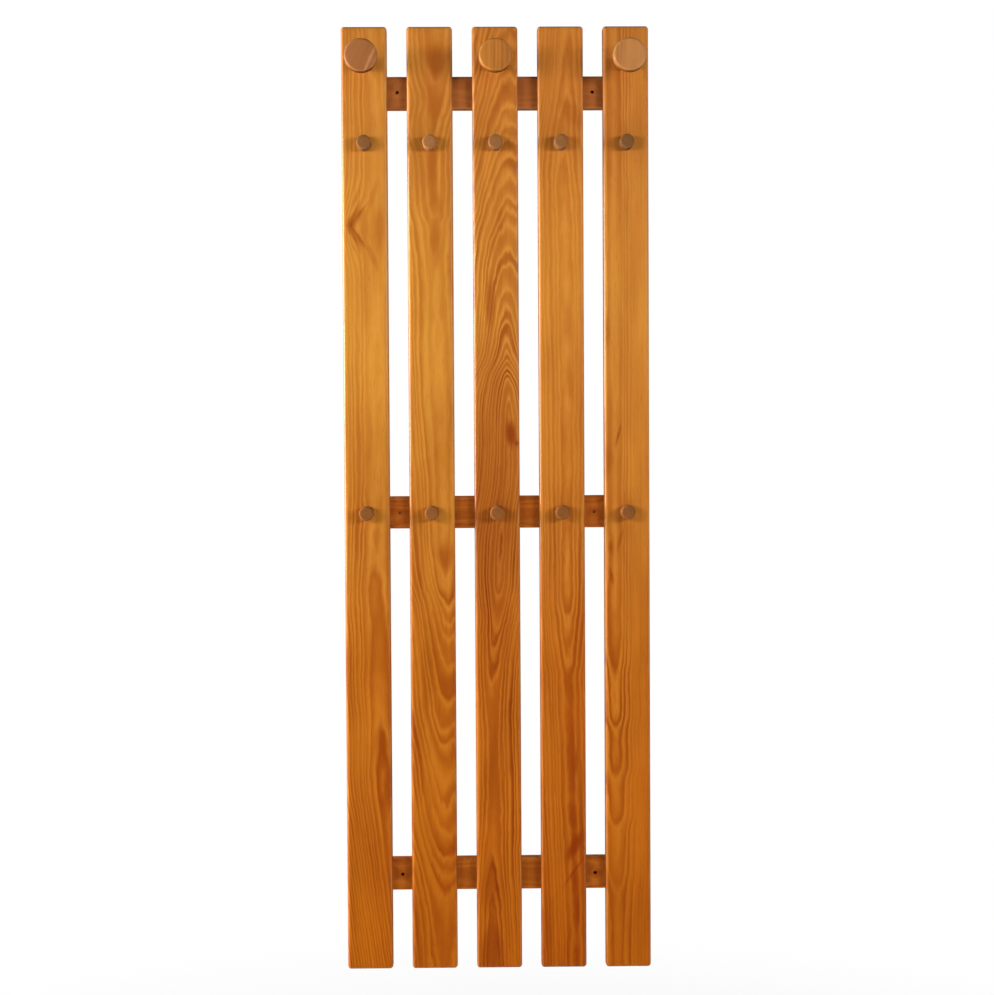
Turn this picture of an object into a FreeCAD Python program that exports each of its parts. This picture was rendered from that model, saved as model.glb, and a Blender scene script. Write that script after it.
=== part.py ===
import FreeCAD, Part
import os

# Wall-hung slatted coat rack in millimetres: +X right, +Y into the wall, +Z up
# The wall is the plane y = 0, and the origin lies midway between the outer wall screw holes

# Slats
SLAT_COUNT = 5
SLAT_WIDTH = 70.0
SLAT_THICKNESS = 20.0
SLAT_LENGTH = 1450.0
SLAT_GAP = 30.0
SLAT_EDGE_RADIUS = 5.0

# Rails: drops run from the slat tops to a rail's centre line, the rise from the slat bottoms
RAIL_HEIGHT = 50.0
RAIL_THICKNESS = 20.0
RAIL_END_INSET = 10.0
RAIL_EDGE_RADIUS = 4.0
UPPER_RAIL_DROP = 97.0
MIDDLE_RAIL_DROP = 743.0
LOWER_RAIL_RISE = 143.0
WALL_HOLE_DIAMETER = 5.5

# Coat pegs: the upper row has its own drop, the middle row sits on the middle rail's centre line
PEG_DIAMETER = 22.0
PEG_PROJECTION = 26.0
PEG_EDGE_RADIUS = 3.0
UPPER_PEG_DROP = 179.0
TENON_DIAMETER = 12.0
TENON_END_ROOM = 1.0

# Hat knobs: a disc on a dowel stem, on every second slat
KNOB_SLAT_STEP = 2
KNOB_DROP = 60.0
KNOB_DIAMETER = 50.0
KNOB_THICKNESS = 16.0
KNOB_EDGE_RADIUS = 4.0
KNOB_PROJECTION = 80.0
KNOB_FACE_WALL = 7.0
STEM_DIAMETER = 18.0

# Blind holes in the slats leave this much wood behind them, and glued wood has this radial room
SLAT_BACK_WALL = 4.0
GLUE_CLEARANCE = 0.1

# Wood screws from behind, two at each crossing, set in from the edges of the wood that both boards share
SCREW_DIAMETER = 4.0
SCREW_HEAD_DIAMETER = 8.0
SCREW_HEAD_HEIGHT = 2.4
SCREW_HEAD_SINK = 0.6
SCREW_TIP_LENGTH = 6.0
SCREW_FRONT_WALL = 5.0
SCREW_SLOT_WIDTH = 1.1
SCREW_SLOT_DEPTH = 1.2
SCREW_SIDE_INSET = 10.0
SCREW_EDGE_INSET = 12.0
SCREW_PASS_CLEARANCE = 0.25
SCREW_BITE_CLEARANCE = 0.05
PILOT_END_ROOM = 1.0

# Places across the rack
SLAT_PITCH = SLAT_WIDTH + SLAT_GAP
SLAT_CENTRES = [(index - (SLAT_COUNT - 1) / 2) * SLAT_PITCH for index in range(SLAT_COUNT)]
KNOB_CENTRES = SLAT_CENTRES[::KNOB_SLAT_STEP]
RAIL_LENGTH = SLAT_CENTRES[-1] - SLAT_CENTRES[0] + SLAT_WIDTH - 2 * RAIL_END_INSET
WALL_HOLE_COLUMNS = [SLAT_CENTRES[0] + SLAT_PITCH / 2, SLAT_CENTRES[-1] - SLAT_PITCH / 2]

# Heights, measured from the middle of the outer wall screw holes
SLAT_TOP = (UPPER_RAIL_DROP + SLAT_LENGTH - LOWER_RAIL_RISE) / 2
SLAT_BOTTOM = SLAT_TOP - SLAT_LENGTH
RAIL_LEVELS = {
    "upper": SLAT_TOP - UPPER_RAIL_DROP,
    "middle": SLAT_TOP - MIDDLE_RAIL_DROP,
    "lower": SLAT_BOTTOM + LOWER_RAIL_RISE,
}
PEG_LEVELS = {"upper": SLAT_TOP - UPPER_PEG_DROP, "middle": RAIL_LEVELS["middle"]}
KNOB_LEVEL = SLAT_TOP - KNOB_DROP

# Depths, measured from the wall
RAIL_FRONT = -RAIL_THICKNESS
SLAT_FRONT = RAIL_FRONT - SLAT_THICKNESS
BLIND_HOLE_END = RAIL_FRONT - SLAT_BACK_WALL
PEG_FRONT = SLAT_FRONT - PEG_PROJECTION
KNOB_FRONT = SLAT_FRONT - KNOB_PROJECTION
KNOB_BACK = KNOB_FRONT + KNOB_THICKNESS
STEM_FRONT = KNOB_FRONT + KNOB_FACE_WALL
SCREW_HEAD_TOP = -SCREW_HEAD_SINK
SCREW_HEAD_BASE = SCREW_HEAD_TOP - SCREW_HEAD_HEIGHT
SCREW_TIP = SLAT_FRONT + SCREW_FRONT_WALL

TO_WALL = FreeCAD.Vector(0, 1, 0)
TO_ROOM = FreeCAD.Vector(0, -1, 0)


def rounded_board(width, thickness, height, radius, centre_x, back_y, bottom_z):
    """Board with every edge rounded, its back face at back_y."""
    corner = FreeCAD.Vector(centre_x - width / 2, back_y - thickness, bottom_z)
    board = Part.makeBox(width, thickness, height, corner)
    return board.makeFillet(radius, board.Edges)


def rod(diameter, front_y, back_y, x, z):
    """Round rod along Y between two depths."""
    return Part.makeCylinder(diameter / 2, back_y - front_y, FreeCAD.Vector(x, front_y, z), TO_WALL)


def rim_nearest(solid, depth):
    """The circular edge of a round solid that lies nearest to a depth."""
    rims = [edge for edge in solid.Edges if isinstance(edge.Curve, Part.Circle)]
    return min(rims, key=lambda rim: abs(rim.CenterOfMass.y - depth))


def crossing_screw_places(centre, level):
    """The two screw places at one crossing, on a diagonal of the wood that rail and slat share."""
    side = SLAT_WIDTH / 2 - RAIL_END_INSET - SCREW_SIDE_INSET
    rise = RAIL_HEIGHT / 2 - SCREW_EDGE_INSET
    return [(centre - side, level + rise), (centre + side, level - rise)]


def rail_screw_places(level):
    """The screw places along one rail."""
    return [place for centre in SLAT_CENTRES for place in crossing_screw_places(centre, level)]


def screw_head_cone(x, z):
    """Cone of a countersunk head, which is also the seat cut for it."""
    return Part.makeCone(SCREW_HEAD_DIAMETER / 2, SCREW_DIAMETER / 2, SCREW_HEAD_HEIGHT,
                         FreeCAD.Vector(x, SCREW_HEAD_TOP, z), TO_ROOM)


def wood_screw():
    """Slotted countersunk screw with its axis on the origin's Y line."""
    tip_start = SCREW_TIP + SCREW_TIP_LENGTH
    shank = rod(SCREW_DIAMETER, tip_start, SCREW_HEAD_BASE, 0, 0)
    tip = Part.makeCone(SCREW_DIAMETER / 2, 0, SCREW_TIP_LENGTH, FreeCAD.Vector(0, tip_start, 0), TO_ROOM)
    slot_corner = FreeCAD.Vector(-SCREW_HEAD_DIAMETER / 2, SCREW_HEAD_TOP - SCREW_SLOT_DEPTH, -SCREW_SLOT_WIDTH / 2)
    slot = Part.makeBox(SCREW_HEAD_DIAMETER, SCREW_SLOT_DEPTH, SCREW_SLOT_WIDTH, slot_corner)
    return screw_head_cone(0, 0).fuse([shank, tip]).removeSplitter().cut(slot)


def slat(centre):
    """One slat with its peg holes, its knob hole if it carries one, and the pilot holes in its back."""
    board = rounded_board(SLAT_WIDTH, SLAT_THICKNESS, SLAT_LENGTH, SLAT_EDGE_RADIUS, centre, RAIL_FRONT, SLAT_BOTTOM)
    tenon_hole = TENON_DIAMETER + 2 * GLUE_CLEARANCE
    cuts = [rod(tenon_hole, SLAT_FRONT, BLIND_HOLE_END, centre, level) for level in PEG_LEVELS.values()]
    if centre in KNOB_CENTRES:
        cuts.append(rod(STEM_DIAMETER + 2 * GLUE_CLEARANCE, SLAT_FRONT, BLIND_HOLE_END, centre, KNOB_LEVEL))
    pilot = SCREW_DIAMETER + 2 * SCREW_BITE_CLEARANCE
    for level in RAIL_LEVELS.values():
        for x, z in crossing_screw_places(centre, level):
            cuts.append(rod(pilot, SCREW_TIP - PILOT_END_ROOM, RAIL_FRONT, x, z))
    return board.cut(cuts)


def rail(level):
    """One rail with its wall screw holes and the countersunk holes of the slat screws."""
    board = rounded_board(RAIL_LENGTH, RAIL_THICKNESS, RAIL_HEIGHT, RAIL_EDGE_RADIUS, 0, 0, level - RAIL_HEIGHT / 2)
    cuts = [rod(WALL_HOLE_DIAMETER, RAIL_FRONT, 0, x, level) for x in WALL_HOLE_COLUMNS]
    for x, z in rail_screw_places(level):
        cuts.append(rod(SCREW_DIAMETER + 2 * SCREW_PASS_CLEARANCE, RAIL_FRONT, 0, x, z))
        cuts.append(screw_head_cone(x, z))
        cuts.append(rod(SCREW_HEAD_DIAMETER, SCREW_HEAD_TOP, 0, x, z))
    return board.cut(cuts)


def rail_screws(level):
    """All the screws of one rail as a group of separate solids."""
    screw = wood_screw()
    return Part.makeCompound([screw.translated(FreeCAD.Vector(x, 0, z)) for x, z in rail_screw_places(level)])


def coat_peg(centre, level):
    """Round peg with an eased front edge and a tenon that goes into the slat."""
    body = rod(PEG_DIAMETER, PEG_FRONT, SLAT_FRONT, centre, level)
    body = body.makeFillet(PEG_EDGE_RADIUS, [rim_nearest(body, PEG_FRONT)])
    tenon = rod(TENON_DIAMETER, SLAT_FRONT, BLIND_HOLE_END - TENON_END_ROOM, centre, level)
    return body.fuse(tenon)


def knob_disc(centre):
    """Disc head with rounded rims and a blind hole in its back for the stem."""
    disc = rod(KNOB_DIAMETER, KNOB_FRONT, KNOB_BACK, centre, KNOB_LEVEL)
    rims = [rim_nearest(disc, KNOB_FRONT), rim_nearest(disc, KNOB_BACK)]
    stem_hole = rod(STEM_DIAMETER + 2 * GLUE_CLEARANCE, STEM_FRONT, KNOB_BACK, centre, KNOB_LEVEL)
    return disc.makeFillet(KNOB_EDGE_RADIUS, rims).cut(stem_hole)


def knob_stem(centre):
    """Dowel that bottoms in the slat's hole and in the disc's."""
    return rod(STEM_DIAMETER, STEM_FRONT, BLIND_HOLE_END, centre, KNOB_LEVEL)


pieces = {}
for number, centre in enumerate(SLAT_CENTRES, 1):
    pieces[f"slat_{number}"] = slat(centre)
    for row, level in PEG_LEVELS.items():
        pieces[f"{row}_peg_{number}"] = coat_peg(centre, level)
for row, level in RAIL_LEVELS.items():
    pieces[f"{row}_rail"] = rail(level)
    pieces[f"{row}_rail_screws"] = rail_screws(level)
for number, centre in enumerate(KNOB_CENTRES, 1):
    pieces[f"hat_knob_{number}"] = knob_disc(centre)
    pieces[f"hat_knob_stem_{number}"] = knob_stem(centre)

os.makedirs("parts", exist_ok=True)
for name, shape in pieces.items():
    shape.exportStep(f"parts/{name}.step")
    print(name, len(shape.Solids), "solids,", "valid" if shape.isValid() else "not valid")
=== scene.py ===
import logging
import math
from collections.abc import Sequence
from dataclasses import dataclass, field
from enum import Enum
from typing import ClassVar

import bpy
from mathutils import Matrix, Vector


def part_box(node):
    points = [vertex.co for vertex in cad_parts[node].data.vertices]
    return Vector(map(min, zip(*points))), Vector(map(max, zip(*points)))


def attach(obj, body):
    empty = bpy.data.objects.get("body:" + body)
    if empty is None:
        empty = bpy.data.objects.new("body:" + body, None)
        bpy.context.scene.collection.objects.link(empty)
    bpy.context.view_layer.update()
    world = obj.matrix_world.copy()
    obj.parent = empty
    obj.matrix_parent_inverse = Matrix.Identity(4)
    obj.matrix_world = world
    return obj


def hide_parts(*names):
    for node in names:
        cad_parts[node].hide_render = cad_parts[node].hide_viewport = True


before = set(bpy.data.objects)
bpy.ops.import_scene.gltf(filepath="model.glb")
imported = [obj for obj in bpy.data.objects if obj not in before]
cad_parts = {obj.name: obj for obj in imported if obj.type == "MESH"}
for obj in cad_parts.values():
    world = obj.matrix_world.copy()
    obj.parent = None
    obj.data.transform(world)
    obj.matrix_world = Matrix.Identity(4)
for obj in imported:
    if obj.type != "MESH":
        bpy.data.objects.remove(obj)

LOG = logging.getLogger("coat_rack")
BODY = "root"
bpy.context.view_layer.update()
RAIL_LEVELS = ("upper", "middle", "lower")
ROW_TONES = 5

Colour = tuple[float, float, float, float]
Triple = tuple[float, float, float]
Row = tuple[float, ...]
Tree = bpy.types.NodeTree
Piece = bpy.types.Object

# Types of the sockets that groups declare
NUMBER, WHOLE, VECTOR = "NodeSocketFloat", "NodeSocketInt", "NodeSocketVector"
COLOUR, SHAPE, FINISH = "NodeSocketColor", "NodeSocketGeometry", "NodeSocketMaterial"

# Marks that the shapes store and the finishes read
ARRIS, TONE = "arris", "tone"

WHITE: Colour = (1.0, 1.0, 1.0, 1.0)
FLOOR_GREY: Colour = (0.8, 0.8, 0.8, 1.0)

# Tints of the slats by height, from their foot to their top: a hue shift from red brown to amber, and painted
# light, brightest at 0.7 of the height with painted shade towards the foot and the top
TINT_FOOT, TINT_TOP = -0.75, 0.70
TINT_AND_LIGHT_STOPS = ((0.0, (0.615, 0.385, 0.11)), (0.30, (0.69, 0.50, 0.28)), (0.50, (0.73, 0.64, 0.58)),
                 (0.70, (0.85, 0.85, 0.90)), (1.0, (0.76, 0.69, 0.83)))

# Waves per metre of the noises in wood: across the grain, into the wood and along the grain
SLOW_DRIFT, QUICK_DRIFT = (16.0, 16.0, 5.0), (75.0, 75.0, 24.0)
KNOT_RIM = (260.0, 260.0, 120.0)
BAND_WIDTH, BAND_FADE = (24.0, 24.0, 4.0), (34.0, 34.0, 7.0)
FIBRE, STREAK, FLECK = (520.0, 520.0, 9.0), (150.0, 150.0, 3.5), (900.0, 900.0, 45.0)
CLOUD, WARMTH = (20.0, 20.0, 6.0), (26.0, 26.0, 5.0)
WEAR_AND_HIGHLIGHT_PATCH, PORES = (60.0, 60.0, 14.0), (420.0, 420.0, 3.0)
EDGE_WAVES, FACE_WAVES = (12.0, 12.0, 12.0), (14.0, 14.0, 3.0)
BRUSH_MARKS, STAIN = (3200.0, 900.0, 400.0), (420.0, 420.0, 420.0)


class Slot(Enum):
    """Material slots of the rack's pieces."""
    SLAT = "slat_pine"
    RAIL = "rail_pine"
    PEG = "peg_pine"
    KNOB = "knob_pine"
    SCREW = "screw_steel"


class TreeKind(Enum):
    """Kinds of node tree, each with the node that places a group of its kind."""
    SHADER = ("ShaderNodeTree", "ShaderNodeGroup")
    GEOMETRY = ("GeometryNodeTree", "GeometryNodeGroup")


class Grain(Enum):
    """Which object axes run across the grain, into the wood and along the grain."""
    UPRIGHT = ("X", "Y", "Z")
    LEVEL = ("Z", "Y", "X")
    OUTWARD = ("X", "Z", "Y")


class Source(Enum):
    """Where a finish reads its place on the wood."""
    OBJECT = "Object"
    OWN_PLACE = "own_place"


def paint(red: int, green: int, blue: int) -> Colour:
    """Turn a colour as seen on a screen into the linear values that shaders take.

    Args:
        red: Red from 0 to 255.
        green: Green from 0 to 255.
        blue: Blue from 0 to 255.

    Returns:
        The linear colour with full alpha.
    """
    def linear(level: int) -> float:
        """One channel, without the screen's curve."""
        share = level / 255
        return share / 12.92 if share <= 0.04045 else ((share + 0.055) / 1.055) ** 2.4
    return linear(red), linear(green), linear(blue), 1.0


def socket_type(value: object) -> str:
    """Find the type of the socket that holds a value.

    Args:
        value: The socket's first value, or the name of its type.

    Returns:
        Blender's name of the socket type.
    """
    if isinstance(value, str):
        return value
    if isinstance(value, tuple):
        return VECTOR if len(value) == 3 else COLOUR
    return WHOLE if isinstance(value, int) else NUMBER


class Value:
    """A value in a node tree; sums with it add number nodes to the tree."""

    def __init__(self, sheet: "NodeSheet", socket: bpy.types.NodeSocket) -> None:
        """Keep the socket and the sheet that it is on."""
        self.sheet, self.socket = sheet, socket

    def __add__(self, other: "Term") -> "Value":
        """The sum of both."""
        return self.sheet.calc("ADD", self, other)

    def __sub__(self, other: "Term") -> "Value":
        """This less the other."""
        return self.sheet.calc("SUBTRACT", self, other)

    def __rsub__(self, other: "Term") -> "Value":
        """The other less this."""
        return self.sheet.calc("SUBTRACT", other, self)

    def __mul__(self, other: "Term") -> "Value":
        """The product of both."""
        return self.sheet.calc("MULTIPLY", self, other)

    def __truediv__(self, other: "Term") -> "Value":
        """This divided by the other."""
        return self.sheet.calc("DIVIDE", self, other)

    def __neg__(self) -> "Value":
        """This with its sign turned."""
        return self * -1.0


Term = Value | float


class NodeSheet:
    """Adds nodes to one shader tree and joins their sockets."""
    KIND: ClassVar[TreeKind] = TreeKind.SHADER

    def __init__(self, tree: Tree) -> None:
        """Keep the tree that the nodes go into."""
        self.tree = tree
        self.given: dict[str, Value] = {}

    @classmethod
    def group(cls, name: str, inputs: dict[str, object], outputs: dict[str, str]) -> "NodeSheet":
        """Start a node group with named sockets.

        Args:
            name: Name of the group.
            inputs: First value of each input, or its socket type where it needs none.
            outputs: Socket type of each output.

        Returns:
            The group's sheet, with its inputs in given.
        """
        sheet = cls(bpy.data.node_groups.new(name, cls.KIND.value[0]))
        sockets = sheet.tree.interface
        for title, value in inputs.items():
            socket = sockets.new_socket(title, in_out="INPUT", socket_type=socket_type(value))
            if not isinstance(value, str):
                socket.default_value = value
        for title, kind in outputs.items():
            sockets.new_socket(title, in_out="OUTPUT", socket_type=kind)
        entry = sheet.tree.nodes.new("NodeGroupInput")
        sheet.given = {title: Value(sheet, entry.outputs[title]) for title in inputs}
        return sheet

    def done(self, **results: Value) -> Tree:
        """Feed the group's outputs and hand over its tree."""
        self.fill(self.tree.nodes.new("NodeGroupOutput"), results)
        return self.tree

    def feed(self, socket: bpy.types.NodeSocket, value: object) -> None:
        """Link a socket to a value of the tree, or set it to a constant.

        Args:
            socket: The input to feed.
            value: A value of the tree or a constant.
        """
        if isinstance(value, Value):
            self.tree.links.new(value.socket, socket)
        else:
            socket.default_value = value

    def fill(self, node: bpy.types.Node, inputs: dict) -> None:
        """Feed a node's inputs by name or index."""
        for key, value in inputs.items():
            self.feed(node.inputs[key], value)

    def add(self, kind: str, inputs: dict | None = None, **settings: object) -> bpy.types.Node:
        """Add one node.

        Args:
            kind: Blender's name of the node type.
            inputs: Values or constants by input name or index.
            settings: Properties of the node.

        Returns:
            The new node.
        """
        node = self.tree.nodes.new(kind)
        for name, setting in settings.items():
            setattr(node, name, setting)
        self.fill(node, inputs or {})
        return node

    def put(self, kind: str, inputs: dict | None = None, output: int | str = 0, **settings: object) -> Value:
        """Add one node and return one of its outputs."""
        return Value(self, self.add(kind, inputs, **settings).outputs[output])

    def place(self, tree: Tree, inputs: dict) -> dict[str, Value]:
        """Place a node group and return its outputs by name."""
        node = self.add(self.KIND.value[1], inputs, node_tree=tree)
        return {socket.name: Value(self, socket) for socket in node.outputs}

    def calc(self, operation: str, *terms: Term) -> Value:
        """Add a number operation."""
        return self.put("ShaderNodeMath", dict(enumerate(terms)), operation=operation)

    def vector(self, operation: str, *terms: object) -> Value:
        """Add a vector operation, which gives a number for a length."""
        output = "Value" if operation == "LENGTH" else "Vector"
        return self.put("ShaderNodeVectorMath", dict(enumerate(terms)), output, operation=operation)

    def scaled(self, value: Value, factor: Term) -> Value:
        """Scale a vector by a number."""
        return self.put("ShaderNodeVectorMath", {0: value, 3: factor}, operation="SCALE")

    def parts(self, value: Value) -> list[Value]:
        """The three parts of a vector."""
        return [Value(self, socket) for socket in self.add("ShaderNodeSeparateXYZ", {0: value}).outputs]

    def joined(self, *parts: Term) -> Value:
        """A vector from its three parts."""
        return self.put("ShaderNodeCombineXYZ", dict(enumerate(parts)))

    def ramp(self, value: Value, low: float, high: float, start: float = 0.0, end: float = 1.0) -> Value:
        """Ease a value from start to end while it goes from low to high."""
        return self.put("ShaderNodeMapRange", {0: value, 1: low, 2: high, 3: start, 4: end},
                        interpolation_type="SMOOTHSTEP")

    def spread(self, value: Value, low: float, high: float, start: float, end: float) -> Value:
        """Carry a value from one range to another, also beyond its ends."""
        return self.put("ShaderNodeMapRange", {0: value, 1: low, 2: high, 3: start, 4: end}, clamp=False)

    def blend(self, factor: Term, first: object, second: object, mode: str = "MIX") -> Value:
        """Mix two colours."""
        return self.put("ShaderNodeMix", {0: factor, 6: first, 7: second}, 2,
                        data_type="RGBA", blend_type=mode)

    def tinted(self, colour: Value, tint: object) -> Value:
        """A colour multiplied by a tint or a shade."""
        return self.blend(1.0, colour, tint, "MULTIPLY")

    def mark(self, name: str, output: str = "Fac") -> Value:
        """Read a mark that is stored on the shape."""
        return self.put("ShaderNodeAttribute", None, output, attribute_name=name)

    def noise(self, place: Value, waves: Triple, seed: Term, detail: float = 2.0) -> Value:
        """Soft noise from 0 to 1 with its own number of waves per metre on each axis."""
        return self.put("ShaderNodeTexNoise", {
            "Vector": self.vector("MULTIPLY", place, waves), "W": seed, "Scale": 1.0, "Detail": detail,
            "Roughness": 0.55}, noise_dimensions="4D")

    def swing(self, place: Value, waves: Triple, seed: Term, detail: float = 2.0) -> Value:
        """Soft noise that swings evenly to both sides of zero."""
        return self.noise(place, waves, seed, detail) - 0.5

    def curve(self, value: Value, points: Sequence[tuple[float, float]]) -> Term:
        """Follow a smooth line through given points.

        Args:
            value: The place along the line.
            points: Places, rising, with the level at each.

        Returns:
            The level at the place.
        """
        first, last = points[0][0], points[-1][0]
        low, high = min(level for _, level in points), max(level for _, level in points)
        if low == high:
            return low
        node = self.add("ShaderNodeFloatCurve", {1: self.spread(value, first, last, 0.0, 1.0)})
        spots = [((place - first) / (last - first), (level - low) / (high - low)) for place, level in points]
        line = node.mapping.curves[0].points
        line[0].location, line[1].location = spots[0], spots[-1]
        for spot in spots[1:-1]:
            line.new(*spot)
        node.mapping.update()
        return self.spread(Value(self, node.outputs[0]), 0.0, 1.0, low, high)

    def surface(self, mask: Value, first: Value, second: Value) -> None:
        """Show a mix of two shaders as the surface of a material or world."""
        end = next(node for node in self.tree.nodes if node.type.startswith("OUTPUT"))
        self.feed(end.inputs["Surface"], self.put("ShaderNodeMixShader", {0: mask, 1: first, 2: second}))


class ShapeSheet(NodeSheet):
    """Adds nodes to one geometry tree."""
    KIND = TreeKind.GEOMETRY

    @classmethod
    def shape(cls, name: str, inputs: dict[str, object]) -> "ShapeSheet":
        """Start a group that gives a geometry."""
        return cls.group(name, inputs, {"Geometry": SHAPE})

    def position(self) -> Value:
        """Where each point is."""
        return self.put("GeometryNodeInputPosition")

    def store(self, shape: Value, name: str, value: Value, kind: str = "FLOAT",
              domain: str = "POINT") -> Value:
        """Store a mark on a shape."""
        return self.put("GeometryNodeStoreNamedAttribute", {"Geometry": shape, "Name": name, "Value": value},
                        data_type=kind, domain=domain)

    def bent(self, shape: Value, place: Value) -> Value:
        """Move each point of a shape to its own place."""
        return self.put("GeometryNodeSetPosition", {"Geometry": shape, "Position": place})

    def moved(self, shape: Value, **how: object) -> Value:
        """Move or turn a whole shape."""
        return self.put("GeometryNodeTransform", {"Geometry": shape} | how)

    def smooth(self, shape: Value) -> Value:
        """Shade a shape smooth."""
        return self.put("GeometryNodeSetShadeSmooth", {"Geometry": shape})

    def join(self, shapes: Sequence[Value]) -> Value:
        """Join shapes in one geometry.

        Args:
            shapes: The shapes to join.

        Returns:
            The joined geometry.
        """
        node = self.add("GeometryNodeJoinGeometry")
        for shape in shapes:
            self.feed(node.inputs[0], shape)
        return Value(self, node.outputs[0])

    def cut(self, body: Value, cutters: Sequence[Value], solver: str) -> Value:
        """Cut shapes out of a body.

        Args:
            body: The shape to cut.
            cutters: The shapes to take away.
            solver: Blender's name of the way to cut.

        Returns:
            The cut body.
        """
        node = self.add("GeometryNodeMeshBoolean", {"Mesh 1": body}, operation="DIFFERENCE", solver=solver)
        for cutter in cutters:
            self.feed(node.inputs["Mesh 2"], cutter)
        return Value(self, node.outputs[0])

    def line(self, count: object, start: Value, step: Value) -> Value:
        """A straight row of points."""
        return self.put("GeometryNodeMeshLine", {"Count": count, "Start Location": start, "Offset": step},
                        mode="OFFSET")

    def screw_rows(self, depth: Value, level: Value) -> list[Value]:
        """Lay out the two rows of screw places on one rail, from the tree's own screw inputs.

        Args:
            depth: How deep the places lie.
            level: Height of the rail's centre line.

        Returns:
            The points of each row.
        """
        names = ("Count", "Pitch", "Side", "Rise")
        count, pitch, side, rise = (self.given[f"Screw {name}"] for name in names)
        first = (count * -0.5 + 0.5) * pitch
        return [self.line(count, self.joined(side * sign + first, depth, rise * -sign + level),
                          self.joined(pitch, 0.0, 0.0)) for sign in (-1.0, 1.0)]

    def instances(self, points: Value, shape: Value, **how: object) -> Value:
        """Instances of a shape on points."""
        return self.put("GeometryNodeInstanceOnPoints", {"Points": points, "Instance": shape} | how)

    def real(self, shape: Value) -> Value:
        """Turn instances into a plain shape."""
        return self.put("GeometryNodeRealizeInstances", {"Geometry": shape})

    def any_roll(self, top: Term, seed: Value) -> Value:
        """A turn about the Y axis, drawn from 0 to a top angle."""
        angle = self.put("FunctionNodeRandomValue", {2: 0.0, 3: top, 8: seed}, 1, data_type="FLOAT")
        return self.joined(0.0, angle, 0.0)

    def finish(self, shape: Value) -> Tree:
        """End the tree in Realize Instances and Set Material."""
        return self.done(Geometry=self.put("GeometryNodeSetMaterial", {
            "Geometry": self.real(shape), "Material": self.given["Material"]}))


# Shader groups that the wood finishes share

# Drift of the rings and the uneven years; a knot's shape, with edges from outside to inside in half widths
QUICK_SHARE, YEAR_RATE, YEAR_SPREAD = 1.1, 0.45, 1.2
SLIMMEST, RIM_SEED, RIM_RAGGED, PUSH_FALL = 0.25, 3.0, 0.35, -0.16
CORE_EDGE, SURROUND_EDGE = (0.75, 0.35), (2.4, 0.6)

# Late wood and pale wood by their share of a ring, and how they fade in places
BAND_RISE, BAND_FALL, PALE_FALL, BAND_DRIFT = (0.1, 0.7), (1.0, 0.72), (0.35, 0.02), 1.4
FADING, FADED, YEAR_SHARE, FAINTEST_YEAR = (0.25, 0.65), (0.5, 1.0), 0.6, 0.4

# Warm patches and flecks by their noise, how strong a tint is, and seeds that keep the noises apart
WARM_EDGE, FLECK_EDGE, TINT_SHARE = (0.35, 0.7), (0.6, 0.74), 0.3
BAND_SEED, STREAK_SEED, WARM_SEED = 13.0, 5.0, 9.0

# What bands and fibres add to relief and roughness
BAND_RELIEF, FIBRE_RELIEF, FIBRE_ROUGHNESS, SMOOTHEST = 0.6, 0.4, 0.14, 0.25

# Worn patches, partly painted highlight, by their noise and by the mark of the arris, and cut ends with their
# pores
WORN_AND_HIGHLIT_PATCH, WORN_AND_HIGHLIT_ARRIS, END_FACING, PORE_DEPTH = (0.35, 0.7), (0.02, 0.25), (0.45, 0.85), 0.7


def log_rings() -> Tree:
    """Group that counts year rings outwards from the heart of the log.

    Returns:
        The group.
    """
    sheet = NodeSheet.group("log_rings", {
        "Place": VECTOR, "Heart Across": NUMBER, "Heart Depth": NUMBER, "Crest Ring": NUMBER,
        "Ring Width": NUMBER, "Wander": NUMBER, "Seed": NUMBER}, {"Rings": NUMBER})
    place, heart, depth, crest, ring_width, wander, seed = sheet.given.values()
    across, into, _ = sheet.parts(place)
    side, inward = across - heart, depth - into
    radius = sheet.calc("SQRT", side * side + inward * inward)
    drift = sheet.swing(place, QUICK_DRIFT, seed) * QUICK_SHARE + sheet.swing(place, SLOW_DRIFT, seed, 1.0)
    counted = (drift * wander * 2.0 + radius - depth) / ring_width + crest
    years = sheet.put("ShaderNodeTexNoise", {"W": counted * YEAR_RATE + seed, "Scale": 1.0, "Detail": 1.0},
                      noise_dimensions="1D")
    return sheet.done(Rings=(years - 0.5) * YEAR_SPREAD + counted)


def knot_swirl() -> Tree:
    """Group that pushes the rings round a knot and marks its core and its dark surround.

    Returns:
        The group.
    """
    sheet = NodeSheet.group("knot_swirl", {
        "Place": VECTOR, "Across": NUMBER, "Along": NUMBER, "Size": NUMBER, "Stretch": NUMBER, "Lean": NUMBER,
        "Taper": NUMBER}, {"Push": NUMBER, "Core": NUMBER, "Surround": NUMBER})
    place, knot_across, knot_along, size, stretch, lean, taper = sheet.given.values()
    across, _, along = sheet.parts(place)
    above = along - knot_along
    rise = above / (size * stretch)
    width = size * sheet.calc("MAXIMUM", rise * taper + 1.0, SLIMMEST)
    side = (across - (above * lean + knot_across)) / width
    square = side * side + rise * rise
    reach = sheet.swing(place, KNOT_RIM, RIM_SEED) * RIM_RAGGED + sheet.calc("SQRT", square)
    return sheet.done(Push=sheet.calc("EXPONENT", square * PUSH_FALL), Core=sheet.ramp(reach, *CORE_EDGE),
                      Surround=sheet.ramp(reach, *SURROUND_EDGE))


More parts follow.
